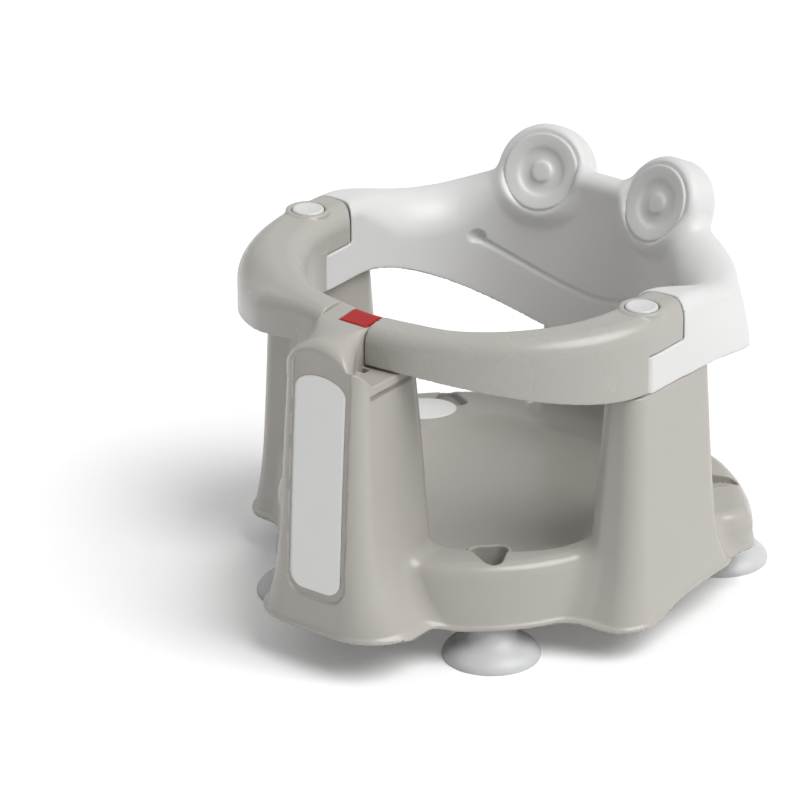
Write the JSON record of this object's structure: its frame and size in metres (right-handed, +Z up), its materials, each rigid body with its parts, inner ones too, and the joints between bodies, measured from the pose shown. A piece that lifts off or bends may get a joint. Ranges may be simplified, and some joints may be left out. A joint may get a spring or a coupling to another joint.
{
  "type": "baby bath seat",
  "caption": "Baby bath seat on suction cups: a moulded base with columns, a frog-faced back shell, and a ring of two arms, one of them a gate with a push latch.",
  "frame": {"origin": "under the middle of the plan, on the floor that the suction cups stand on", "axes": "+X to the left hand of a child in the seat, where the gate arm's hinge is; +Y to the back shell; +Z up"},
  "size_m": [0.31, 0.3528, 0.2551],
  "materials": {
    "base_plastic": "semi-gloss moulded",
    "arm_plastic": "semi-gloss moulded",
    "shell_plastic": "semi-gloss moulded",
    "cap_plastic": "gloss",
    "button_plastic": "semi-gloss",
    "dark_plastic": "matt",
    "cup_rubber": "clear soft plastic",
    "steel": "plain"
  },
  "bodies": {
    "seat": {"seat_base": "base_plastic", "back_shell": "shell_plastic", "left_arm": "arm_plastic", "left_hinge_pin": "steel", "right_hinge_pin": "steel", "left_hinge_cap": "cap_plastic", "latch_plate": "dark_plastic", "latch_spring": "steel", "front_left_cup": "cup_rubber", "front_right_cup": "cup_rubber", "rear_left_cup": "cup_rubber", "rear_right_cup": "cup_rubber", "arm_screws": "steel", "shell_screws": "steel"},
    "gate": {"right_arm": "arm_plastic", "right_hinge_cap": "cap_plastic", "latch_tongue": "dark_plastic"},
    "button": {"latch_button": "button_plastic", "latch_collar": "steel"}
  },
  "joints": [
    {"name": "gate_hinge", "type": "hinge", "parent": "seat", "child": "gate", "pos_m": [0.13, -0.011, 0.2], "axis": [0, 0, 1], "range_deg": [0, 70]},
    {"name": "button_press", "type": "slide", "parent": "seat", "child": "button", "axis": [0, 0, -1], "range_m": [0, 0.0045], "stiffness_N_per_m": 400, "springref_m": -0.004, "deforming": ["latch_spring"]}
  ]
}
